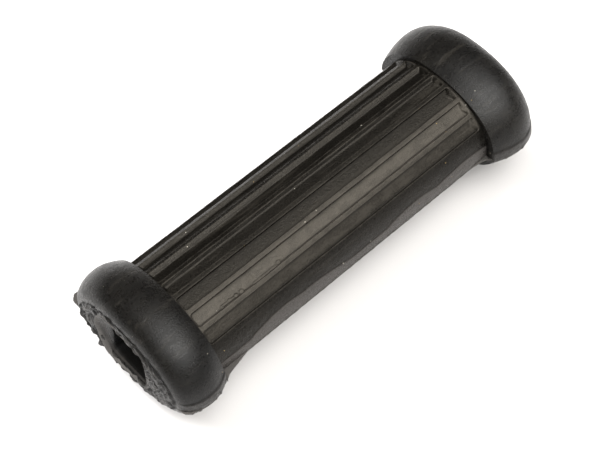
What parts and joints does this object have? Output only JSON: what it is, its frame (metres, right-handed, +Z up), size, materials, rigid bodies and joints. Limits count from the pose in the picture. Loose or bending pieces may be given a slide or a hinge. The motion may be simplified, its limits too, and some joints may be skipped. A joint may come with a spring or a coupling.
{
  "type": "motorcycle foot peg rubber",
  "caption": "Ribbed rubber sleeve with rounded end beads that pushes over a square steel foot peg bar and gives the rider's boot grip.",
  "frame": {"origin": "centre of the footprint, on the surface the sleeve lies on", "axes": "+X along the sleeve from its open end to its closed end, +Z up through the ribbed crown, +Y to the left seen from the open end"},
  "size_m": [0.12, 0.045, 0.031],
  "materials": {
    "tread_rubber": "satin black with a warm grey bloom",
    "bead_rubber": "smooth satin black",
    "flash_rubber": "matt torn and trimmed edge"
  },
  "bodies": {
    "root": {"tread_crown": "tread_rubber", "belly": "tread_rubber", "inner_bead": "bead_rubber", "outer_bead": "bead_rubber", "left_flash": "flash_rubber", "right_flash": "flash_rubber", "mouth_flash": "flash_rubber"}
  },
  "joints": []
}
